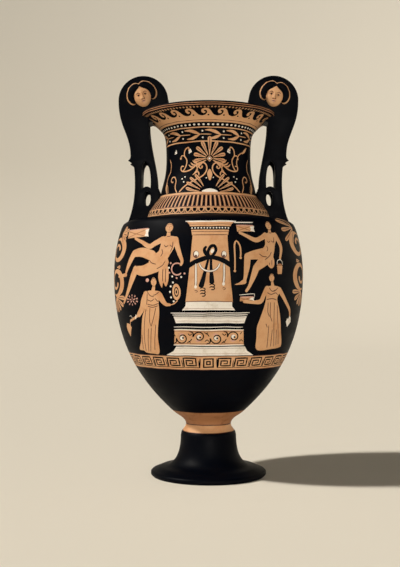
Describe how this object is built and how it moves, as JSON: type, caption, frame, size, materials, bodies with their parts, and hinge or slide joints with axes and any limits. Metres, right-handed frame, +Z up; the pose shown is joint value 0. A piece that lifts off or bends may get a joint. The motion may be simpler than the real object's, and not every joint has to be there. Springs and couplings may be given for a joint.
{
  "type": "volute krater",
  "caption": "Red-figure volute krater in the South Italian manner: tall footed wine-mixing vase with a flared mouth and mask-bearing volute handles.",
  "frame": {"origin": "centre of the foot's underside, on the surface that the krater stands on", "axes": "+Z up through the mouth, +X through the right handle, the painted front faces -Y"},
  "size_m": [0.3948, 0.3948, 0.8289],
  "materials": {
    "slipped_clay": "black slip with a soft gloss over reserved orange-brown fired clay, added white and dilute brown lines"
  },
  "bodies": {
    "root": {"krater": "slipped_clay"}
  },
  "joints": []
}
